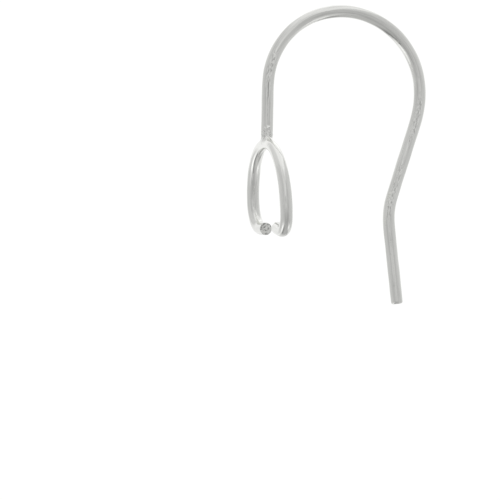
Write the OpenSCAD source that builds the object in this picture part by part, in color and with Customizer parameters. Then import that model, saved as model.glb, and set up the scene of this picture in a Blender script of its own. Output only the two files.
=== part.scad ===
// Ear wire: a hook of round wire with an open bail soldered under its front end.
// It lies on a flat surface the way it comes to rest there: the far side of the bail and
// the outside of the bow touch the surface, and the bow points along +Y. Millimetres.

/* [Wire] */
// thickness of the hook's wire
wire_d = 0.8; // [0.6:0.05:1.2]
// thickness of the bail's wire
bail_wire_d = 0.85; // [0.6:0.05:1.2]
// rounding of the edge at the hook's free end
tip_round = 0.15; // [0.05:0.01:0.25]

/* [Hook] */
// straight front shank, from the middle of the bail's wire up to the bow
shank_len = 3.95; // [2:0.05:8]
// radius of the front part of the bow, to the middle of the wire
bow_front_r = 5.05; // [3.5:0.05:7]
// how far the front part of the bow turns, in degrees
bow_front_turn = 75; // [50:1:85]
// radius of the back part of the bow, to the middle of the wire
bow_back_r = 5.6; // [3.5:0.05:7]
// how far the back part of the bow turns, in degrees
bow_back_turn = 122.3; // [100:0.1:135]
// straight slant behind the bow
slant_len = 5.4; // [2:0.1:9]
// radius of the outward kink above the tail, to the middle of the wire
kink_r = 4.65; // [2:0.05:8]
// how far the kink turns back, in degrees
kink_turn = 24.8; // [10:0.1:40]
// straight tail that goes through the ear
tail_len = 5.3; // [3:0.05:12]

/* [Bail] */
// radius of the top of the ring, to the middle of the wire
bail_top_r = 3.55; // [2.5:0.05:4.5]
// how far the top of the ring turns down to each side, in degrees
bail_top_turn = 65; // [40:1:75]
// radius of the ring's two flanks, to the middle of the wire
bail_side_r = 4.9; // [3.5:0.05:7]
// how far the bail leans back from the line of the shank, in degrees
bail_lean = 4; // [0:0.5:8]

/* [Upper peg, the one away from the surface it lies on] */
// from the middle of the wire at the top of the ring down to the lowest point of the bend
upper_drop = 5.85; // [5.2:0.05:7]
// radius of the bend that turns the flank's end into the peg
upper_bend_r = 1.1; // [0.7:0.05:1.8]
// how far the peg rises from square to the hook towards its end, in degrees
upper_rise = 10; // [0:1:15]
// from the middle of the bail across to the end of the peg
upper_gap = 1.45; // [0.4:0.05:1.6]

/* [Lower peg] */
// from the middle of the wire at the top of the ring down to the lowest point of the bend
lower_drop = 5.75; // [5.2:0.05:7]
// radius of the bend that turns the flank's end into the peg
lower_bend_r = 1.6; // [0.7:0.05:1.8]
// how far the peg rises from square to the hook towards its end, in degrees
lower_rise = 0; // [0:1:15]
// from the middle of the bail across to the end of the peg
lower_gap = 1.1; // [0.4:0.05:1.6]

/* [Solder] */
// how far each run of solder reaches up the shank and out along the bail
solder_leg = 0.24; // [0.1:0.02:0.4]
// roundness of each run of solder
solder_r = 0.25; // [0.15:0.05:0.35]

/* [Hidden] */
$fn = 64;
silver = [0.8, 0.8, 0.79];
wire_r = wire_d / 2;
bail_wire_r = bail_wire_d / 2;
// a hair's breadth, which keeps surfaces that would coincide apart
hair = wire_d / 160;

// The direction at angle a in the drawing plane, and a vector's direction.
function dir(a) = [cos(a), sin(a), 0];
function unit(v) = v / norm(v);

// The hook is drawn in the XY plane, its shank along +Y from the origin, which is the
// middle of the wire at the top of the bail. Every stretch starts where the last one ends.
join_a = 180 - bow_front_turn;
slant_a = join_a - bow_back_turn;
tail_a = slant_a + kink_turn;
front_c = [bow_front_r, shank_len, 0];
back_c = front_c - (bow_back_r - bow_front_r) * dir(join_a);
slant_top = back_c + bow_back_r * dir(slant_a);
slant_end = slant_top + slant_len * dir(slant_a - 90);
kink_c = slant_end + kink_r * dir(slant_a);
tail_top = kink_c - kink_r * dir(tail_a);
tail_end = tail_top + tail_len * dir(tail_a - 90);

// The bail is drawn in the same plane, the top of its ring at the origin and its opening
// below, and stand() turns a point of that drawing square to the hook and into its lean.
// Its two sides, the upper and the lower, are both drawn on the right, and the lower is
// flipped over.
drop = [upper_drop, lower_drop];
bend_r = [upper_bend_r, lower_bend_r];
rise = [upper_rise, lower_rise];
gap = [upper_gap, lower_gap];
sides = [0, 1];
top_a = 90 - bail_top_turn;
top_c = [0, -bail_top_r, 0];
flank_c = top_c - (bail_side_r - bail_top_r) * dir(top_a);
flank_a = [for (i = sides) asin((bend_r[i] - drop[i] - flank_c[1]) / (bail_side_r - bend_r[i]))];
bend_c = [for (i = sides) flank_c + (bail_side_r - bend_r[i]) * dir(flank_a[i])];
peg_top = [for (i = sides) bend_c[i] + bend_r[i] * dir(-90 - rise[i])];
peg_len = [for (i = sides) (peg_top[i][0] - gap[i]) / cos(rise[i])];
peg_end = [for (i = sides) peg_top[i] + peg_len[i] * dir(180 - rise[i])];
function flip(p, i) = [i == 0 ? p[0] : -p[0], p[1], 0];
function stand(p) = [-p[1] * sin(bail_lean), p[1] * cos(bail_lean), p[0]];
bail_axis = [cos(bail_lean), sin(bail_lean), 0];

// Each stretch of wire as [its centroid, its weight].
function rod_share(a, b, r) = [(a + b) / 2, norm(b - a) * r * r];
function arc_share(c, arc_r, from, to, r) =
    let (half = (to - from) / 2, rad = half * PI / 180)
    [c + arc_r * sin(half) / rad * dir(from + half), 2 * arc_r * rad * r * r];
function bail_share(s, i) = [stand(flip(s[0], i)), s[1]];
shares = [
    rod_share([0, 0, 0], [0, shank_len, 0], wire_r),
    arc_share(front_c, bow_front_r, join_a, 180, wire_r),
    arc_share(back_c, bow_back_r, slant_a, join_a, wire_r),
    rod_share(slant_top, slant_end, wire_r),
    arc_share(kink_c, kink_r, slant_a + 180, tail_a + 180, wire_r),
    rod_share(tail_top, tail_end, wire_r),
    bail_share(arc_share(top_c, bail_top_r, top_a, 180 - top_a, bail_wire_r), 0),
    for (i = sides) bail_share(arc_share(flank_c, bail_side_r, flank_a[i], top_a, bail_wire_r), i),
    for (i = sides) bail_share(arc_share(bend_c[i], bend_r[i], -90 - rise[i], flank_a[i], bail_wire_r), i),
    for (i = sides) bail_share(rod_share(peg_end[i], peg_top[i], bail_wire_r), i)
];
function total(list, i = 0) = i == len(list) - 1 ? list[i] : list[i] + total(list, i + 1);
balance = total([for (s = shares) s[0] * s[1]]) / total([for (s = shares) s[1]]);

// How it rests. up() is the surface's normal when the hook is tilted back side down and
// then pitched bow down. The bail's lower flank and the bow each touch where their circle
// is lowest.
function up(tilt, pitch) = [-sin(tilt) * cos(pitch), -sin(pitch), cos(tilt) * cos(pitch)];
function lowest(c, axis, r, n) = c - r * unit(n - (n * axis) * axis);
function bail_touch(n) = lowest(stand(flip(flank_c, 1)), bail_axis, bail_side_r, n);
function bow_touch(n) = lowest(back_c, [0, 0, 1], bow_back_r, n);
function bow_above(n) = n * (bow_touch(n) - bail_touch(n)) - wire_r + bail_wire_r;
// The tilt at which both touch, and then the pitch at which the balance point is between them.
function tilt_at(pitch, low = 0, high = 50, steps = 40) =
    let (mid = (low + high) / 2)
    steps == 0 ? mid
    : bow_above(up(mid, pitch)) > 0 ? tilt_at(pitch, mid, high, steps - 1)
    : tilt_at(pitch, low, mid, steps - 1);
function overhang(n) =
    n * cross(bow_touch(n) - bail_touch(n), balance - bail_touch(n));
function pitch_at(low = -25, high = 25, steps = 40) =
    let (mid = (low + high) / 2)
    steps == 0 ? mid
    : overhang(up(tilt_at(mid), mid)) > 0 ? pitch_at(mid, high, steps - 1)
    : pitch_at(low, mid, steps - 1);
pitch = pitch_at();
tilt = tilt_at(pitch);
surface = up(tilt, pitch) * bail_touch(up(tilt, pitch)) - bail_wire_r;

// The middle of the space it takes up, seen from above: a ball of wire at each point of
// the line along the middle of the wire reaches as far as the wire does.
across = [cos(tilt), 0, sin(tilt)];
along = [-sin(tilt) * sin(pitch), cos(pitch), cos(tilt) * sin(pitch)];
function arc_points(c, r, from, to) = [for (i = [0:90]) c + r * dir(from + (to - from) * i / 90)];
hook_points = concat(
    [[0, 0, 0], tail_end + wire_r * dir(tail_a + 90)],
    arc_points(front_c, bow_front_r, join_a, 180),
    arc_points(back_c, bow_back_r, slant_a, join_a),
    arc_points(kink_c, kink_r, slant_a + 180, tail_a + 180)
);
bail_points = concat(
    [for (p = arc_points(top_c, bail_top_r, top_a, 180 - top_a)) stand(p)],
    [for (i = sides) each [for (p = arc_points(flank_c, bail_side_r, flank_a[i], top_a)) stand(flip(p, i))]]
);
function reach(d) = max(
    max([for (p = hook_points) p * d]) + wire_r,
    max([for (p = bail_points) p * d]) + bail_wire_r
);
middle = [(reach(across) - reach(-across)) / 2, (reach(along) - reach(-along)) / 2];

// A straight length of wire from a point, at angle a in the drawing plane.
module rod(from, a, length, r) {
    translate(from)
        rotate([0, 90, a])
            cylinder(h = length, r = r);
}

// A bent length of wire around a centre, from one angle to another.
module bend(c, arc_r, from, to, r) {
    translate(c)
        rotate_extrude(angle = to - from, start = from)
            translate([arc_r, 0])
                circle(r = r);
}

// Where two lengths meet end to end, this short length makes them one. It is a hair thicker
// than the wire, and each length stops just short of the next one inside it.
module weld(at, a, r) {
    translate(at)
        rotate([0, 90, a])
            cylinder(h = 12 * hair, r = r + hair, center = true);
}

// The tail, with the edge of its free end rounded.
module tail() {
    translate(tail_end)
        rotate([90, 0, tail_a])
            rotate_extrude()
                difference() {
                    translate([0, -tail_len])
                        square([wire_r, tail_len]);
                    difference() {
                        translate([wire_r - tip_round, -tip_round])
                            square(2 * tip_round);
                        translate([wire_r - tip_round, -tip_round])
                            circle(r = tip_round);
                    }
                }
}

module hook() {
    color(silver) {
        rod([0, 0, 0], 90, shank_len - hair, wire_r);
        weld([0, shank_len, 0], 90, wire_r);
        bend(front_c, bow_front_r, join_a + 0.1, 179.9, wire_r);
        weld(front_c + bow_front_r * dir(join_a), join_a - 90, wire_r);
        bend(back_c, bow_back_r, slant_a + 0.1, join_a - 0.1, wire_r);
        weld(slant_top, slant_a - 90, wire_r);
        rod(slant_top + hair * dir(slant_a - 90), slant_a - 90, slant_len - 2 * hair, wire_r);
        weld(slant_end, slant_a - 90, wire_r);
        bend(kink_c, kink_r, slant_a + 180.1, tail_a + 179.9, wire_r);
        weld(tail_top, tail_a - 90, wire_r);
        tail();
    }
}

// One side's flank, bend and peg, drawn on the right.
module bail_side(i) {
    weld(top_c + bail_top_r * dir(top_a), top_a - 90, bail_wire_r);
    bend(flank_c, bail_side_r, flank_a[i] + 0.1, top_a - 0.1, bail_wire_r);
    weld(flank_c + bail_side_r * dir(flank_a[i]), flank_a[i] - 90, bail_wire_r);
    bend(bend_c[i], bend_r[i], -89.5 - rise[i], flank_a[i] - 0.5, bail_wire_r);
    weld(peg_top[i], -rise[i], bail_wire_r);
    rod(peg_end[i], -rise[i], peg_len[i] - hair, bail_wire_r);
}

module bail() {
    color(silver)
        rotate([0, -90, bail_lean]) {
            bend(top_c, bail_top_r, top_a + 0.1, 179.9 - top_a, bail_wire_r);
            bail_side(0);
            mirror([1, 0, 0])
                bail_side(1);
        }
}

// Solder that has run into the two corners between the shank and the bail's wire.
module solder() {
    inset = solder_leg / 2 - solder_r / sqrt(2);
    color(silver)
        for (side = [0, 1])
            mirror([0, 0, side])
                translate([0, bail_wire_r + inset, wire_r + inset])
                    rotate([45, 0, 0])
                        cylinder(h = solder_leg * sqrt(2) + 0.8 * solder_r, r = solder_r, center = true);
}

module ear_wire() {
    translate([-middle[0], -middle[1], -surface])
        rotate([-pitch, 0, 0])
            rotate([0, tilt, 0]) {
                hook();
                bail();
                solder();
            }
}

ear_wire();
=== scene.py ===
"""An ear wire of polished silver: a hook of round wire with an open bail soldered under its
front end. It lies on a pale table. Lengths below are millimetres unless a name says metres."""
import math

import bmesh
import bpy
from mathutils import Euler, Matrix, Vector
from mathutils.kdtree import KDTree


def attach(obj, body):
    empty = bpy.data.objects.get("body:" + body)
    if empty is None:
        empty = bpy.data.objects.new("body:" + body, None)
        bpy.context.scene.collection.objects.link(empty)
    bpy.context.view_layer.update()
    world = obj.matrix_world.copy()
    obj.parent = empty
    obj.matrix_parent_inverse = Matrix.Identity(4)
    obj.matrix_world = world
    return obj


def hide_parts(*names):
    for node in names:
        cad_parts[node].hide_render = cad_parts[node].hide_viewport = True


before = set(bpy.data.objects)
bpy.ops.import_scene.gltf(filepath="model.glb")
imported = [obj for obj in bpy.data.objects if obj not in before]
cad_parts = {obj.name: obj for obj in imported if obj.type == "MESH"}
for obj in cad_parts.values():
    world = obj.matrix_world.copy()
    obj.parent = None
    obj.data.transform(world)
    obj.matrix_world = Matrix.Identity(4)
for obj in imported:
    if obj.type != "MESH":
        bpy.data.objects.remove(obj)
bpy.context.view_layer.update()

MM = 0.001

# The ear wire's own sizes, the same as in the part's source.
BAIL_WIRE_R = 0.425
SHANK_LEN = 3.95
BOW_FRONT_R = 5.05
BOW_FRONT_TURN = 75
BOW_BACK_R = 5.6
BOW_BACK_TURN = 122.3
SLANT_LEN = 5.4
KINK_R = 4.65
KINK_TURN = 24.8
TAIL_LEN = 5.3
BAIL_TOP_R = 3.55
BAIL_TOP_TURN = 65
BAIL_SIDE_R = 4.9
BAIL_LEAN = 4
# The two sides of the bail, each with the side it is on, how far its bend goes down, the
# bend's radius, how far its peg rises and how far from the middle it ends.
UPPER_SIDE = (1, 5.85, 1.1, 10, 1.45)
LOWER_SIDE = (-1, 5.75, 1.6, 0, 1.1)
# The hook's wire as the photo shows it, a touch thicker than in the part's source.
WIRE_SHOWN_R = 0.41

# How it lies: tilted onto its back side, pitched bow down, and moved to the frame's middle.
TILT = 14.3745
PITCH = 6.52869
MIDDLE = Vector((4.87542, -0.816559))
SURFACE = -3.59033

# A wire is modelled with eight sides, and the smoothing draws them in to a round of this share.
ROUND_SHARE = 0.9019
SIDES = 8
SMOOTHING = 3

# The foot of the shank: how far above the ring's middle it starts, and its first two lengths,
# short enough to keep the joint crisp.
FOOT = 0.5
FOOT_LENGTHS = (0.07, 0.4)
# The turn from the ring's top to the end of the solder, and the turn from there to the collar
# that holds the wire round.
SADDLE_TURN = 9.8
COLLAR_TURN = 7.2
# In how many steps each stretch of wire is drawn out.
SHANK_STEPS = 5
BOW_FRONT_STEPS = 10
BOW_BACK_STEPS = 16
SLANT_STEPS = 5
KINK_STEPS = 4
TAIL_STEPS = 5
TOP_STEPS = 6
FLANK_STEPS = 5
BEND_STEPS = 7
PEG_STEPS = 2
# How the solder spreads the saddle's sides, how far they sink, and how it draws in its corners.
SADDLE_SPREAD = (1.3, 1, 1)
SADDLE_SUNK = 0.17
SADDLE_CORNERS = (0.97, 1, 0.74)
# How much thinner the wire's radius is at the ring's top, and the turn where that has faded out.
TOP_THINNED = 0.05
THINNED_TO = 64
# The bow from this height over the shank: how much thicker its wire's radius is, and by what
# share the bow stands out.
BOW_FROM = 0.3
BOW_THICKER = 0.008
BOW_STANDS_OUT = 1.003
# The tail's end: a last short length, the length of its rounding, and the share left flat.
TAIL_LAST = 0.12
TAIL_ROUNDING = 0.28
TAIL_FLAT = 0.4
# A peg's sawn end: the length of its rim and the share left flat.
PEG_RIM = 0.05
PEG_FLAT = 0.88
# Bending and polishing by hand leaves soft lumps, so wide and so high.
LUMP_WIDTH = 1.4
LUMP_HEIGHT = 0.03

# Distances along the wire: the hook's from its foot at 0, the bail's from the ring's top at 100.
BAIL_FROM = 100
TRACE_STEP = 0.04


def heading(degrees):
    """The direction at an angle in the drawing plane."""
    return Vector((math.cos(math.radians(degrees)), math.sin(math.radians(degrees)), 0))


UP = Vector((0, 1, 0))
OUT = Vector((0, 0, 1))
JOIN_A = 180 - BOW_FRONT_TURN
SLANT_A = JOIN_A - BOW_BACK_TURN
TAIL_A = SLANT_A + KINK_TURN
FRONT_C = Vector((BOW_FRONT_R, SHANK_LEN, 0))
BACK_C = FRONT_C - (BOW_BACK_R - BOW_FRONT_R) * heading(JOIN_A)
SLANT_TOP = BACK_C + BOW_BACK_R * heading(SLANT_A)
SLANT_END = SLANT_TOP + SLANT_LEN * heading(SLANT_A - 90)
KINK_C = SLANT_END + KINK_R * heading(SLANT_A)

LEAN = math.radians(BAIL_LEAN)
BAIL_AXIS = Vector((math.cos(LEAN), math.sin(LEAN), 0))

LIE_DOWN = (
    Matrix.Translation(Vector((-MIDDLE.x, -MIDDLE.y, -SURFACE)) * MM)
    @ Matrix.Rotation(math.radians(-PITCH), 4, "X")
    @ Matrix.Rotation(math.radians(TILT), 4, "Y")
)


def stand(u, v):
    """A point of the bail's drawing, u across and v up, stood square to the hook and leaned."""
    return Vector((-v * math.sin(LEAN), v * math.cos(LEAN), u))


TOP_C = stand(0, -BAIL_TOP_R)


def select_none():
    bpy.ops.object.select_all(action="DESELECT")


def pick(test):
    """Selects the vertices of the piece in edit mode whose place passes the test."""
    bpy.ops.mesh.select_mode(type="VERT")
    bpy.ops.mesh.select_all(action="DESELECT")
    piece = bpy.context.edit_object
    shape = bmesh.from_edit_mesh(piece.data)
    for vertex in shape.verts:
        if test(vertex.co / MM):
            vertex.select = True
    shape.select_flush(True)
    bmesh.update_edit_mesh(piece.data)


def turn_normals_out():
    bpy.ops.mesh.select_all(action="SELECT")
    bpy.ops.mesh.normals_make_consistent(inside=False)


def start_wire(name, radius, turn):
    """An open ring of eight corners at the origin, left in edit mode, all of it selected."""
    select_none()
    bpy.ops.mesh.primitive_circle_add(
        vertices=SIDES, radius=radius / ROUND_SHARE * MM, fill_type="NOTHING", rotation=turn
    )
    wire = bpy.context.active_object
    wire.name = name
    bpy.ops.object.transform_apply(location=True, rotation=True, scale=True)
    bpy.ops.object.mode_set(mode="EDIT")
    bpy.ops.mesh.select_mode(type="VERT")
    bpy.ops.mesh.select_all(action="SELECT")
    return wire


def equal_parts(length, count):
    return [length / count] * count


def draw_straight(way, lengths):
    for length in lengths:
        bpy.ops.mesh.extrude_region_move(
            TRANSFORM_OT_translate={"value": tuple(way * length * MM)}
        )


def draw_bend(centre, axis, degrees, steps):
    bpy.ops.mesh.spin(
        steps=steps, angle=math.radians(degrees), center=tuple(centre * MM), axis=tuple(axis)
    )


def close_end(way, rounding, flat):
    """Draws out a wire's rounding, and closes it with a smaller flat face."""
    draw_straight(way, [rounding])
    bpy.ops.mesh.extrude_region_move(TRANSFORM_OT_translate={"value": (0, 0, 0)})
    bpy.ops.transform.resize(value=(flat, flat, flat))
    bpy.ops.mesh.edge_face_add()


def model_hook():
    """The hook's wire, drawn out from its foot on the bail to the tail's free end."""
    hook = start_wire("hook", WIRE_SHOWN_R, (math.radians(90), 0, 0))
    bpy.ops.transform.translate(value=tuple(UP * FOOT * MM))
    draw_straight(UP, FOOT_LENGTHS)
    draw_straight(UP, equal_parts(SHANK_LEN - FOOT - sum(FOOT_LENGTHS), SHANK_STEPS))
    draw_bend(FRONT_C, OUT, BOW_FRONT_TURN, BOW_FRONT_STEPS)
    draw_bend(BACK_C, OUT, BOW_BACK_TURN, BOW_BACK_STEPS)
    draw_straight(heading(SLANT_A - 90), equal_parts(SLANT_LEN, SLANT_STEPS))
    draw_bend(KINK_C, OUT, -KINK_TURN, KINK_STEPS)
    tail_way = heading(TAIL_A - 90)
    draw_straight(tail_way, equal_parts(TAIL_LEN - TAIL_LAST - TAIL_ROUNDING, TAIL_STEPS))
    draw_straight(tail_way, [TAIL_LAST])
    close_end(tail_way, TAIL_ROUNDING, TAIL_FLAT)
    swell_bow()
    bpy.ops.object.mode_set(mode="OBJECT")
    return hook


def swell_bow():
    """Bent by hand, the bow stands out a touch and its wire is spread a touch, as in the photo."""
    turn_normals_out()
    pick(lambda p: p.y > SHANK_LEN + BOW_FROM)
    bpy.ops.transform.shrink_fatten(value=BOW_THICKER * MM)
    bpy.ops.transform.resize(
        value=(BOW_STANDS_OUT, BOW_STANDS_OUT, 1), center_override=tuple(UP * SHANK_LEN * MM)
    )


def bail_side_sizes(side, drop, bend_r, rise, gap):
    """The flank's middle and turn, the bend's middle and turn, and the peg's length."""
    top_a = math.radians(90 - BAIL_TOP_TURN)
    flank_u = (BAIL_TOP_R - BAIL_SIDE_R) * math.cos(top_a)
    flank_v = -BAIL_TOP_R + (BAIL_TOP_R - BAIL_SIDE_R) * math.sin(top_a)
    flank_a = math.asin((bend_r - drop - flank_v) / (BAIL_SIDE_R - bend_r))
    bend_u = flank_u + (BAIL_SIDE_R - bend_r) * math.cos(flank_a)
    flank_turn = 90 - BAIL_TOP_TURN - math.degrees(flank_a)
    bend_turn = 90 + math.degrees(flank_a) + rise
    end_u = bend_u - bend_r * math.sin(math.radians(rise))
    peg_len = (end_u - gap) / math.cos(math.radians(rise))
    flank_c = stand(side * flank_u, flank_v)
    return flank_c, flank_turn, stand(side * bend_u, bend_r - drop), bend_turn, peg_len


def draw_bail_side(side, drop, bend_r, rise, gap):
    """From the selected ring of corners at the bail's top down to one peg's sawn end."""
    flank_c, flank_turn, bend_c, bend_turn, peg_len = bail_side_sizes(
        side, drop, bend_r, rise, gap
    )
    way = stand(-side * math.cos(math.radians(rise)), math.sin(math.radians(rise)))
    top_turn = BAIL_TOP_TURN - SADDLE_TURN - COLLAR_TURN
    for turn, steps in ((SADDLE_TURN, 1), (COLLAR_TURN, 1), (top_turn, TOP_STEPS)):
        draw_bend(TOP_C, BAIL_AXIS, -side * turn, steps)
    draw_bend(flank_c, BAIL_AXIS, -side * flank_turn, FLANK_STEPS)
    draw_bend(bend_c, BAIL_AXIS, -side * bend_turn, BEND_STEPS)
    draw_straight(way, equal_parts(peg_len - PEG_RIM, PEG_STEPS))
    close_end(way, PEG_RIM, PEG_FLAT)


def thin_ring_top():
    """Draws the wire in a little over the top of the ring, where the photo shows it thinner."""
    step = (BAIL_TOP_TURN - SADDLE_TURN - COLLAR_TURN) / TOP_STEPS
    one_side = [SADDLE_TURN] + [SADDLE_TURN + COLLAR_TURN + step * n for n in range(TOP_STEPS)]
    for turn in [0] + one_side + [-turn for turn in one_side]:
        here = math.radians(turn)
        middle = TOP_C + stand(BAIL_TOP_R * math.sin(here), BAIL_TOP_R * math.cos(here))
        through = stand(math.cos(here), -math.sin(here))
        pick(lambda p: (p - middle).length < 0.6 and abs((p - middle).dot(through)) < 0.01)
        thinner = TOP_THINNED * math.cos(math.radians(90 * turn / THINNED_TO))
        share = 1 - thinner / BAIL_WIRE_R
        bpy.ops.transform.resize(value=(share, share, share), center_override=tuple(middle * MM))


def model_bail():
    """The bail's wire, drawn out from the top of its ring to both sides."""
    bail = start_wire("bail", BAIL_WIRE_R, (0, 0, LEAN))
    draw_bail_side(*UPPER_SIDE)
    pick(lambda p: abs(p.z) < 0.01 and p.y > -1)
    draw_bail_side(*LOWER_SIDE)
    thin_ring_top()
    bpy.ops.object.mode_set(mode="OBJECT")
    return bail


def is_saddle_side(p):
    return abs(p.z) < 0.05 and 0.2 < p.y < 0.5


def is_saddle_corner(p):
    return 0.5 < abs(p.z) < 0.9 and 0.2 < abs(p.x) < 0.45 and 0.1 < p.y < 0.45


def join_at_saddle(hook, bail):
    """Opens the top of the ring and bridges it to the shank, as the solder does."""
    select_none()
    bail.select_set(True)
    hook.select_set(True)
    bpy.context.view_layer.objects.active = hook
    bpy.ops.object.join()
    bpy.ops.object.mode_set(mode="EDIT")
    top = stand(0, BAIL_WIRE_R / ROUND_SHARE)
    pick(lambda p: (p - top).length < 0.1)
    bpy.ops.mesh.delete(type="VERT")
    pick(is_saddle_side)
    bpy.ops.transform.resize(value=SADDLE_SPREAD, center_override=(0, 0, 0))
    bpy.ops.transform.translate(value=tuple(UP * -SADDLE_SUNK * MM))
    pick(is_saddle_corner)
    bpy.ops.transform.resize(value=SADDLE_CORNERS, center_override=(0, 0, 0))
    bpy.ops.mesh.select_all(action="DESELECT")
    bpy.ops.mesh.select_mode(type="EDGE")
    bpy.ops.mesh.select_non_manifold(
        extend=False, use_wire=False, use_boundary=True, use_multi_face=False,
        use_non_contiguous=False, use_verts=False,
    )
    bpy.ops.mesh.bridge_edge_loops()
    turn_normals_out()
    bpy.ops.object.mode_set(mode="OBJECT")
    return hook


def smooth_round(piece):
    """Draws the eight sides of the wire in to a round."""
    smooth = piece.modifiers.new("round", "SUBSURF")
    smooth.levels = SMOOTHING
    smooth.render_levels = SMOOTHING
    bpy.ops.object.modifier_apply(modifier=smooth.name)


def make_uneven(piece):
    """Leaves the wire a little out of true, as bending and polishing it by hand does."""
    bumps = bpy.data.textures.new("out of true", "CLOUDS")
    bumps.noise_scale = LUMP_WIDTH * MM
    bumps.noise_depth = 1
    swell = piece.modifiers.new("out of true", "DISPLACE")
    swell.texture = bumps
    swell.texture_coords = "LOCAL"
    swell.strength = LUMP_HEIGHT * MM
    swell.mid_level = 0.5
    bpy.ops.object.modifier_apply(modifier=swell.name)


def arc(radius, turn):
    return (radius * math.radians(abs(turn)), turn)


def trace(way, axis, side, from_distance, legs):
    """Steps along the middle of a wire from the joint. Each says where it is, the wire's heading,
    the ways across and through the wire, and how far along the wire it is."""
    steps = []
    place = Vector((0, 0, 0))
    way = way.copy()
    gone = 0
    for length, turn in legs + [(0, 0)]:
        count = max(1, round(length / TRACE_STEP))
        bit = length / count
        half_turn = Matrix.Rotation(math.radians(turn) / count / 2, 3, axis)
        for step_number in range(count):
            along = way * side
            steps.append((place.copy(), along, axis.cross(along), axis, from_distance + side * gone))
            place += (half_turn @ way) * bit
            way = half_turn @ half_turn @ way
            gone += bit
    return steps


def trace_both_wires():
    """The steps along the hook and both sides of the bail, and how far along the pegs end."""
    steps = trace(UP, OUT, 1, 0, [
        (SHANK_LEN, 0), arc(BOW_FRONT_R, -BOW_FRONT_TURN), arc(BOW_BACK_R, -BOW_BACK_TURN),
        (SLANT_LEN, 0), arc(KINK_R, KINK_TURN), (TAIL_LEN, 0),
    ])
    peg_ends = []
    for side_sizes in (UPPER_SIDE, LOWER_SIDE):
        side = side_sizes[0]
        bend_r = side_sizes[2]
        flank_turn, bend_turn, peg_len = (bail_side_sizes(*side_sizes)[i] for i in (1, 3, 4))
        steps += trace(stand(side, 0), BAIL_AXIS, side, BAIL_FROM, [
            arc(BAIL_TOP_R, side * BAIL_TOP_TURN), arc(BAIL_SIDE_R, side * flank_turn),
            arc(bend_r, side * bend_turn), (peg_len, 0),
        ])
        peg_ends.append(steps[-1][-1])
    return steps, peg_ends


def straighten(piece):
    """Stores where each point lies on its wire, as if the wire were pulled straight: across it,
    through it and along it. Gives back how far along the two pegs end."""
    steps, peg_ends = trace_both_wires()
    nearest = KDTree(len(steps))
    for number, step in enumerate(steps):
        nearest.insert(step[0], number)
    nearest.balance()
    layer = piece.data.attributes.new("on_the_wire", "FLOAT_VECTOR", "POINT")
    for vertex, mark in zip(piece.data.vertices, layer.data):
        point = vertex.co / MM
        place, way, across, through, gone = steps[nearest.find(point)[1]]
        off = point - place
        mark.vector = (off.dot(across), off.dot(through), gone + off.dot(way))
    return peg_ends


def calc(tree, operation, *values):
    """The output of a Math node fed with numbers or with other outputs."""
    node = tree.nodes.new("ShaderNodeMath")
    node.operation = operation
    for socket, value in zip(node.inputs, values):
        if isinstance(value, (int, float)):
            socket.default_value = value
        else:
            tree.links.new(value, socket)
    return node.outputs[0]


def times(tree, first, second):
    return calc(tree, "MULTIPLY", first, second)


def away_from(tree, value, middle):
    """How far a value is from a middle, to either side."""
    return calc(tree, "ABSOLUTE", calc(tree, "SUBTRACT", value, middle))


def ease(tree, value, start, end):
    """Rises softly from 0 to 1 between start and end."""
    node = tree.nodes.new("ShaderNodeMapRange")
    node.interpolation_type = "SMOOTHSTEP"
    tree.links.new(value, node.inputs["Value"])
    node.inputs["From Min"].default_value = start
    node.inputs["From Max"].default_value = end
    return node.outputs["Result"]


def dot(tree, vector, way):
    node = tree.nodes.new("ShaderNodeVectorMath")
    node.operation = "DOT_PRODUCT"
    tree.links.new(vector, node.inputs[0])
    node.inputs[1].default_value = way
    return node.outputs["Value"]


def noise(tree, vector, scale, detail, roughness=0.5):
    node = tree.nodes.new("ShaderNodeTexNoise")
    tree.links.new(vector, node.inputs["Vector"])
    node.inputs["Scale"].default_value = scale
    node.inputs["Detail"].default_value = detail
    node.inputs["Roughness"].default_value = roughness
    return node.outputs["Fac"]


def wire_noise(tree, on_wire, fineness, detail, roughness=0.5):
    """A noise laid along the straightened wire, of another fineness each way."""
    node = tree.nodes.new("ShaderNodeMapping")
    tree.links.new(on_wire, node.inputs["Vector"])
    node.inputs["Scale"].default_value = fineness
    return noise(tree, node.outputs["Vector"], 1, detail, roughness)


def tinted(tree, value, stops):
    """A colour read off a ramp of (place, colour) stops."""
    ramp = tree.nodes.new("ShaderNodeValToRGB")
    tree.links.new(value, ramp.inputs["Fac"])
    bands = ramp.color_ramp.elements
    bands.remove(bands[1])
    for count, (place, colour) in enumerate(stops):
        band = bands[0] if count == 0 else bands.new(place)
        band.position = place
        band.color = (*colour, 1)
    return ramp.outputs["Color"]


def blend(tree, share, first, second):
    """From the first colour to the second as the share goes from 0 to 1."""
    node = tree.nodes.new("ShaderNodeMix")
    node.data_type = "RGBA"
    tree.links.new(share, node.inputs["Factor"])
    for socket, colour in ((node.inputs[6], first), (node.inputs[7], second)):
        if isinstance(colour, tuple):
            socket.default_value = (*colour, 1)
        else:
            tree.links.new(colour, socket)
    return node.outputs[2]


def bumped(tree, height, depth, below):
    """A bump of so many metres, laid over the bump below where there is one."""
    node = tree.nodes.new("ShaderNodeBump")
    tree.links.new(height, node.inputs["Height"])
    node.inputs["Distance"].default_value = depth
    if below is not None:
        tree.links.new(below, node.inputs["Normal"])
    return node.outputs["Normal"]


# How fine the marks in the silver are, across, through and along the wire, per millimetre.
DRAWN_LINES = (5, 5, 0.35)
HAIRLINES = (15, 15, 0.7)
PLIER_FLECKS_AND_GLINTS = (13, 13, 4)
SAW_LINES = (3, 14, 1)
# The same for marks that run no way, per metre.
SOLDER_GRAIN = 7000
DENTS = 2600
SOLDER_BEADS_AND_GLINTS = 5200
SAW_PITS = 6400
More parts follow.
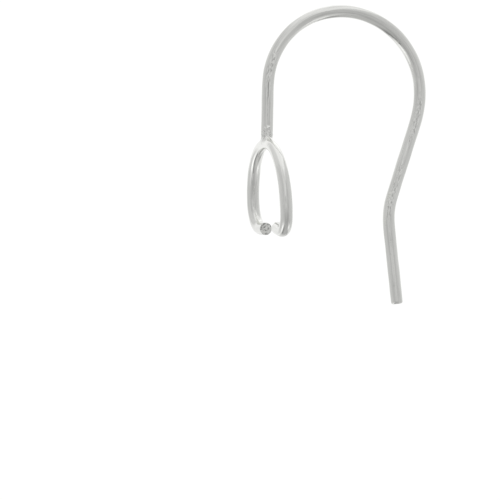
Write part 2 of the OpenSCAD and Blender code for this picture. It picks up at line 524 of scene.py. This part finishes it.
# How far the bumps stand up, in metres. Dents go in.
DRAWN_LINE_HEIGHT = 1.2e-5
HAIRLINE_HEIGHT = 1.5e-6
FLECK_HEIGHT = 5e-5
DENT_HEIGHT = -6e-6
GRAIN_HEIGHT = 2.5e-5
SAW_LINE_HEIGHT = 2e-5
BEAD_HEIGHT = 1e-4

# Where pliers rubbed the wire as they bent it, and where glints and dark reflection specks are
# painted along a thin highlight line: how far along the hook, how far to each side of that, and how
# far across the wire. The rest of the wire is rubbed and painted by the share below.
GRIPS_AND_GLINTS = ((5, 1.2, 0.1), (22.3, 1.4, -0.1), (27.5, 1.7, -0.1))
RUBBED_AND_GLINTING_ELSEWHERE = 0.06
# How softly a grip and its painted flecks end along the wire. Across the wire, how far off its
# middle they have ended and how far off they are still whole.
GRIP_AND_GLINT_SOFT = 0.5
GRIP_AND_GLINT_ACROSS = (0.22, 0.08)
# The same for a painted reflection, a dark line with painted highlights to both sides: how much
# farther it ends than its reach and how much nearer it is still whole, and the widths across the
# wire of the dark line and of its highlights.
REFLECTED_LINE = (3.62, 0.5, 0.1)
REFLECTED_LINE_ENDS = (0.15, -0.1)
REFLECTED_LINE_ACROSS = (0.05, 0.02)
LINE_HIGHLIGHTS_ACROSS = (0.13, 0.08)
# How far from the joint, in metres, the solder has ended and how far off it is still whole.
SOLDER_EDGE = (0.0008, 0.0004)
# How far up the shank the beads of solder, coloured near white as painted highlights, have ended
# and how far up they are still whole, how far across the wire they lie, and how far off that they
# have ended and are still whole.
BEADS_AND_GLINTS_END = (1.25, 1)
BEADS_AND_GLINTS_MIDDLE = 0.1
BEADS_AND_GLINTS_ACROSS = (0.24, 0.14)
# How far from the ring's top the painted highlight that whitens it has ended and how far off it
# is still whole, how ragged that edge is, and how many times sooner it ends up the shank.
TOP_HIGHLIGHT_EDGE = (3.9, 3.5)
TOP_HIGHLIGHT_RAGGED = 4
SHANK_SOONER = 7
# How far from a peg's end the sawn finish has ended and how far off it is still whole.
SAWN_EDGE = (0.03, 0.01)
# How rough the silver is: all over, and with the hairlines, the solder's grain and the saw.
BARE_ROUGH = -0.01
HAIR_ROUGH = 0.12
GRAIN_ROUGH = 0.15
SAWN_ROUGH = 0.24

# Silver's own colour, a touch less red and less blue than white.
SILVER_TINT = (0.9966, 1, 0.9713)


def silver_tone(brightness):
    return tuple(brightness * tint for tint in SILVER_TINT)


def places_on_wire(tree):
    """Where a point lies on the straightened wire, and its parts across and along the wire."""
    mark = tree.nodes.new("ShaderNodeAttribute")
    mark.attribute_name = "on_the_wire"
    on_wire = mark.outputs["Vector"]
    parted = tree.nodes.new("ShaderNodeSeparateXYZ")
    tree.links.new(on_wire, parted.inputs["Vector"])
    return on_wire, parted.outputs["X"], parted.outputs["Z"]


def where_soldered(tree, place, joint):
    """The solder round the foot of the shank."""
    away = tree.nodes.new("ShaderNodeVectorMath")
    away.operation = "DISTANCE"
    tree.links.new(place, away.inputs[0])
    away.inputs[1].default_value = joint
    return ease(tree, away.outputs["Value"], *SOLDER_EDGE)


def where_beads_and_glints_are(tree, place, across, along):
    """Small beads of solder that ran up the foot of the shank, their bright spots painted
    highlights.
    """
    beads_and_glints = ease(tree, noise(tree, place, SOLDER_BEADS_AND_GLINTS, 0), 0.5, 0.56)
    beads_and_glints = times(tree, beads_and_glints, ease(tree, along, *BEADS_AND_GLINTS_END))
    return times(tree, beads_and_glints, ease(tree, away_from(tree, across, BEADS_AND_GLINTS_MIDDLE), *BEADS_AND_GLINTS_ACROSS))


def where_sawn(tree, along, peg_ends):
    """The flat ends of the two pegs."""
    sawn = 0
    for end in peg_ends:
        sawn = calc(tree, "ADD", sawn, ease(tree, away_from(tree, along, end), *SAWN_EDGE))
    return sawn


def where_top_highlight_is_painted(tree, along, lines):
    """Where a highlight is painted: the top of the ring and the foot of the shank, up to a ragged
    edge.
    """
    from_top = away_from(tree, along, BAIL_FROM)
    from_joint = calc(tree, "MINIMUM", from_top, times(tree, along, SHANK_SOONER))
    even = calc(tree, "SUBTRACT", from_joint, TOP_HIGHLIGHT_RAGGED / 2)
    ragged = calc(tree, "MULTIPLY_ADD", lines, TOP_HIGHLIGHT_RAGGED, even)
    return ease(tree, ragged, *TOP_HIGHLIGHT_EDGE)


def where_gripped_and_glinting(tree, across, along):
    """How much the pliers rubbed each place, and so how much painted glint and dark fleck it gets.
    """
    gripped_and_glinting = RUBBED_AND_GLINTING_ELSEWHERE
    for far_along, reach, far_across in GRIPS_AND_GLINTS:
        held = ease(tree, away_from(tree, along, far_along), reach + GRIP_AND_GLINT_SOFT, reach - GRIP_AND_GLINT_SOFT)
        rubbed = ease(tree, away_from(tree, across, far_across), *GRIP_AND_GLINT_ACROSS)
        gripped_and_glinting = calc(tree, "MAXIMUM", times(tree, held, rubbed), gripped_and_glinting)
    return gripped_and_glinting


def where_reflected_line_is_painted(tree, across, along):
    """A dark line of painted reflection, and painted highlights to both sides of it."""
    far_along, reach, far_across = REFLECTED_LINE
    ended, whole = (reach + end for end in REFLECTED_LINE_ENDS)
    held = ease(tree, away_from(tree, along, far_along), ended, whole)
    aside = away_from(tree, across, far_across)
    dark_reflection = times(tree, held, ease(tree, aside, *REFLECTED_LINE_ACROSS))
    edge_highlights = times(tree, held, ease(tree, aside, *LINE_HIGHLIGHTS_ACROSS))
    return dark_reflection, edge_highlights


def drawn_colour(tree, lines, hairs):
    """The lighter and darker lines that drawing and polishing leave along the wire."""
    rubbed = calc(tree, "MULTIPLY_ADD", hairs, 0.4, times(tree, lines, 0.6))
    return tinted(tree, rubbed, (
        (0.36, silver_tone(0.78)), (0.46, silver_tone(0.86)), (0.54, silver_tone(0.885)),
        (0.64, silver_tone(0.95)),
    ))


def flecks_with_painted_glints(tree, colour, flecks_and_glints, gripped_and_glinting):
    """Painted dark reflection specks and painted glints where the pliers rubbed."""
    dark = times(tree, ease(tree, flecks_and_glints, 0.44, 0.34), gripped_and_glinting)
    colour = blend(tree, times(tree, dark, 0.7), colour, silver_tone(0.54))
    light = times(tree, ease(tree, flecks_and_glints, 0.54, 0.62), gripped_and_glinting)
    return blend(tree, light, colour, silver_tone(0.99))


def painted_reflected_line(tree, colour, across, along):
    """Paints a reflection: a dark line with painted highlights to both sides."""
    dark_reflection, edge_highlights = where_reflected_line_is_painted(tree, across, along)
    colour = blend(tree, edge_highlights, colour, silver_tone(0.99))
    return blend(tree, dark_reflection, colour, silver_tone(0.45))


def solder_colour(tree, grain):
    return tinted(tree, grain, ((0.4, silver_tone(0.74)), (0.52, silver_tone(0.93))))


def sawn_colour(tree, saw_lines, place):
    """Lined by the saw, with dark pits."""
    pits = ease(tree, noise(tree, place, SAW_PITS, 2, 0.6), 0.5, 0.6)
    lined = tinted(tree, saw_lines, ((0.35, silver_tone(0.87)), (0.65, silver_tone(0.99))))
    return blend(tree, pits, lined, silver_tone(0.42))


def how_rough(tree, hairs, grain, solder, sawn):
    """Nearly a mirror, duller on the solder and on the sawn ends."""
    rough = calc(tree, "MULTIPLY_ADD", hairs, HAIR_ROUGH, BARE_ROUGH)
    rough = calc(tree, "MULTIPLY_ADD", solder, times(tree, grain, GRAIN_ROUGH), rough)
    return calc(tree, "MULTIPLY_ADD", sawn, SAWN_ROUGH, rough)


def silver_finish(joint, peg_ends):
    """Drawn and polished silver: fine lines along the wire, small dents, painted glints and a
    painted reflection line, a painted highlight that whitens the ring top, a grainy soldered joint
    and sawn peg ends."""
    silver = bpy.data.materials.new("polished silver")
    silver.use_nodes = True
    tree = silver.node_tree
    shader = tree.nodes["Principled BSDF"]
    shader.inputs["Metallic"].default_value = 1
    place = tree.nodes.new("ShaderNodeTexCoord").outputs["Object"]
    on_wire, across, along = places_on_wire(tree)

    lines = wire_noise(tree, on_wire, DRAWN_LINES, 2, 0.6)
    hairs = wire_noise(tree, on_wire, HAIRLINES, 3, 0.6)
    flecks_and_glints = wire_noise(tree, on_wire, PLIER_FLECKS_AND_GLINTS, 1)
    saw_lines = wire_noise(tree, on_wire, SAW_LINES, 2)
    grain = noise(tree, place, SOLDER_GRAIN, 3, 0.6)
    dents = ease(tree, noise(tree, place, DENTS, 1), 0.66, 0.78)

    solder = where_soldered(tree, place, joint)
    beads_and_glints = where_beads_and_glints_are(tree, place, across, along)
    sawn = where_sawn(tree, along, peg_ends)
    drawn = calc(tree, "SUBTRACT", 1, calc(tree, "ADD", solder, sawn))
    painted_top_highlight = where_top_highlight_is_painted(tree, along, lines)
    gripped_and_glinting = where_gripped_and_glinting(tree, across, along)
    gripped_and_glinting = times(tree, gripped_and_glinting, calc(tree, "SUBTRACT", 1, painted_top_highlight))

    colour = drawn_colour(tree, lines, hairs)
    # Painted glints and dark reflection specks where the pliers rubbed.
    colour = flecks_with_painted_glints(tree, colour, flecks_and_glints, gripped_and_glinting)
    # Painted reflection near the top of the shank: a dark line with painted highlights to both
    # sides.
    colour = painted_reflected_line(tree, colour, across, along)
    # Painted highlight: the ring top and the foot of the shank whitened.
    colour = blend(tree, times(tree, painted_top_highlight, 0.8), colour, silver_tone(0.975))
    colour = blend(tree, solder, colour, solder_colour(tree, grain))
    # Painted highlights: the solder beads coloured near white.
    colour = blend(tree, beads_and_glints, colour, silver_tone(0.99))
    colour = blend(tree, sawn, colour, sawn_colour(tree, saw_lines, place))
    tree.links.new(colour, shader.inputs["Base Color"])
    tree.links.new(how_rough(tree, hairs, grain, solder, sawn), shader.inputs["Roughness"])

    relief = None
    for bump, height in (
        (times(tree, lines, drawn), DRAWN_LINE_HEIGHT),
        (times(tree, hairs, drawn), HAIRLINE_HEIGHT),
        (times(tree, flecks_and_glints, gripped_and_glinting), FLECK_HEIGHT),
        (dents, DENT_HEIGHT),
        (times(tree, grain, solder), GRAIN_HEIGHT),
        (times(tree, saw_lines, sawn), SAW_LINE_HEIGHT),
        (beads_and_glints, BEAD_HEIGHT),
    ):
        relief = bumped(tree, bump, height, relief)
    tree.links.new(relief, shader.inputs["Normal"])
    return silver


# The table glows, so that it shows plain white, as the photo's ground does.
TABLE_SIZE_METRES = 4
TABLE_GREY = (0.25, 0.25, 0.25, 1)
TABLE_GLOW = (1, 1, 0.995, 1)
TABLE_GLOW_STRENGTH = 0.9


def lay_table():
    """A white table that the silver doesn't mirror."""
    select_none()
    bpy.ops.mesh.primitive_plane_add(size=TABLE_SIZE_METRES)
    table = bpy.context.active_object
    table.name = "table"
    white = bpy.data.materials.new("white table")
    white.use_nodes = True
    matt = white.node_tree.nodes["Principled BSDF"]
    matt.inputs["Base Color"].default_value = TABLE_GREY
    matt.inputs["Roughness"].default_value = 1
    matt.inputs["Specular IOR Level"].default_value = 0
    matt.inputs["Emission Color"].default_value = TABLE_GLOW
    matt.inputs["Emission Strength"].default_value = TABLE_GLOW_STRENGTH
    table.data.materials.append(white)
    table.visible_glossy = False
    return table


# The room that the silver mirrors, leaned so that its top lies where the photo looks from. A
# direction in it is told by its angle from the room's top and by its bearing round the top, 0 to
# the right, 90 to the back and -90 to the front.
ROOM_LEAN = Euler([math.radians(turn) for turn in (-7, -3, 1.5)]).to_matrix()
ROOM_RIGHT, ROOM_BACK, ROOM_TOP = ROOM_LEAN.transposed()

# How bright the bare room is at each angle from its top.
ROOM_GREYS = (
    (0, 0.56), (20, 0.51), (40, 0.43), (60, 0.5), (80, 0.51), (100, 0.54), (120, 0.53),
    (140, 0.78), (180, 0.8),
)

# The soft panels in the room. Each has the bearings where it comes in and where it goes out, and
# the angles from the top where it starts and where it ends, as the place of the edge and the
# edge's width, and then how strong it is.
BACK_WALL = ((53, 2), (105, 25), (-10, 85), (140, 10), 0.14)
BACK_GLOW = ((35, 25), (100, 100), (10, 5), (140, 10), 0.06)
LEFT_LAMP = ((-160, 25), (-135, 20), (50, 40), (80, 70), 0.5)
RIGHT_LAMP = ((-65, 5), (-45, 10), (35, 70), (130, 60), 0.3)
RIGHT_LAMP_GLOW = ((-65, 10), (-45, 30), (75, 10), (120, 40), 0.17)
RIGHT_WALL = ((-15, 25), (70, 5), (43, 2), (160, 40), 0.03)
LIT_PANELS = (BACK_WALL, BACK_GLOW, LEFT_LAMP, RIGHT_LAMP, RIGHT_LAMP_GLOW, RIGHT_WALL)
DARK_FRONT = ((-130, 5), (-45, 30), (-5, 10), (135, 60), 0.16)
DARK_GAP = ((-125, 5), (-130, 35), (57, 2), (115, 5), 0.68)
LOW_FRONT = ((-85, 15), (-50, 20), (95, 5), (150, 5), 0.25)
LEFT_SHADE = ((-160, 10), (-110, 15), (15, 5), (30, 10), 0.14)
DARK_PANELS = (DARK_FRONT, DARK_GAP, LOW_FRONT, LEFT_SHADE)

# The small dark opening overhead: how far it lies behind the room's top, as a share, the angles
# from its middle where it has ended and where it is whole, and how dark it is.
OPENING_BEHIND = 0.067
OPENING_EDGE = (9.5, 3)
OPENING_DARK = 0.42

# Polished silver gives back about this share of the light, and the room is made up for it.
SILVER_GIVES_BACK = 0.87


def between(tree, value, rise, fall):
    """Comes in over one edge and goes out over another, each a place and a width."""
    return calc(
        tree, "SUBTRACT",
        ease(tree, value, rise[0], sum(rise)), ease(tree, value, fall[0], sum(fall)),
    )


def panel_share(tree, bearing, angle, panel):
    """How much of a panel lies in a direction."""
    comes_in, goes_out, starts, ends, strength = panel
    spread = times(tree, between(tree, bearing, comes_in, goes_out),
                   between(tree, angle, starts, ends))
    return times(tree, spread, strength)


def angle_from(tree, way, middle):
    """How many degrees a direction lies off a middle one."""
    return calc(tree, "DEGREES", calc(tree, "ARCCOSINE", dot(tree, way, middle)))


def light_room():
    """Grey overhead and paler low down, with a pale back wall, two lamps and a dark front. The
    camera looks in from the top through a small dark opening."""
    room = bpy.data.worlds.new("soft room")
    bpy.context.scene.world = room
    room.use_nodes = True
    tree = room.node_tree
    way = tree.nodes.new("ShaderNodeTexCoord").outputs["Generated"]
    angle = angle_from(tree, way, ROOM_TOP)
    bearing = calc(
        tree, "DEGREES",
        calc(tree, "ARCTAN2", dot(tree, way, ROOM_BACK), dot(tree, way, ROOM_RIGHT)),
    )
    greys = [(degrees / 180, (grey, grey, grey)) for degrees, grey in ROOM_GREYS]
    light = tinted(tree, calc(tree, "DIVIDE", angle, 180), greys)
    for panel in LIT_PANELS:
        light = calc(tree, "ADD", panel_share(tree, bearing, angle, panel), light)
    for panel in DARK_PANELS:
        kept = calc(tree, "SUBTRACT", 1, panel_share(tree, bearing, angle, panel))
        light = times(tree, light, kept)
    opening = (ROOM_TOP + OPENING_BEHIND * ROOM_BACK).normalized()
    open_share = ease(tree, angle_from(tree, way, opening), *OPENING_EDGE)
    light = times(tree, light, calc(tree, "MULTIPLY_ADD", open_share, -OPENING_DARK, 1))
    sky = tree.nodes["Background"]
    tree.links.new(light, sky.inputs["Color"])
    sky.inputs["Strength"].default_value = 1 / SILVER_GIVES_BACK


# The camera, set by how the drawing plane shows in the photo: turned, pitched and rolled, with
# the top of the bail at a pixel of the 500 by 500 frame, so many pixels to a millimetre.
VIEW_TURN = 17.42
VIEW_PITCH = 0.26
VIEW_ROLL = -1.12
VIEW_FROM = 500
PX_PER_MM = 14.882
TOP_OF_BAIL_PX = (266.82, 143.48)
FRAME_PX = 500
SENSOR_WIDTH = 36


def set_camera():
    """Looks at the ear wire as the photo does, from far off."""
    camera_data = bpy.data.cameras.new("camera")
    camera = bpy.data.objects.new("camera", camera_data)
    bpy.context.scene.collection.objects.link(camera)
    faces_camera = (
        Matrix.Rotation(math.radians(VIEW_ROLL), 4, "Z")
        @ Matrix.Rotation(math.radians(VIEW_PITCH), 4, "X")
        @ Matrix.Rotation(math.radians(VIEW_TURN), 4, "Y")
    )
    across = (TOP_OF_BAIL_PX[0] - FRAME_PX / 2) / PX_PER_MM
    upwards = (FRAME_PX / 2 - TOP_OF_BAIL_PX[1]) / PX_PER_MM
    stands_at = Matrix.Translation(Vector((-across, -upwards, VIEW_FROM)) * MM)
    camera.matrix_world = LIE_DOWN @ faces_camera.inverted() @ stands_at
    camera_data.sensor_width = SENSOR_WIDTH
    camera_data.lens = SENSOR_WIDTH * PX_PER_MM * VIEW_FROM / FRAME_PX
    camera_data.clip_start = 0.01
    camera_data.clip_end = 20
    bpy.context.scene.camera = camera
    bpy.context.scene.view_settings.view_transform = "Standard"


ear_wire = join_at_saddle(model_hook(), model_bail())
ear_wire.name = "silver_ear_wire"
ear_wire.data.name = "silver_ear_wire"
smooth_round(ear_wire)
make_uneven(ear_wire)
bpy.ops.object.shade_smooth()
peg_ends = straighten(ear_wire)
ear_wire.matrix_world = LIE_DOWN
bpy.ops.object.transform_apply(location=True, rotation=True, scale=True)

joint = LIE_DOWN @ Vector((0, BAIL_WIRE_R * MM, 0))
ear_wire.data.materials.clear()
ear_wire.data.materials.append(silver_finish(joint, peg_ends))

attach(ear_wire, "root")
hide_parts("ear_wire")

table = lay_table()
light_room()
set_camera()
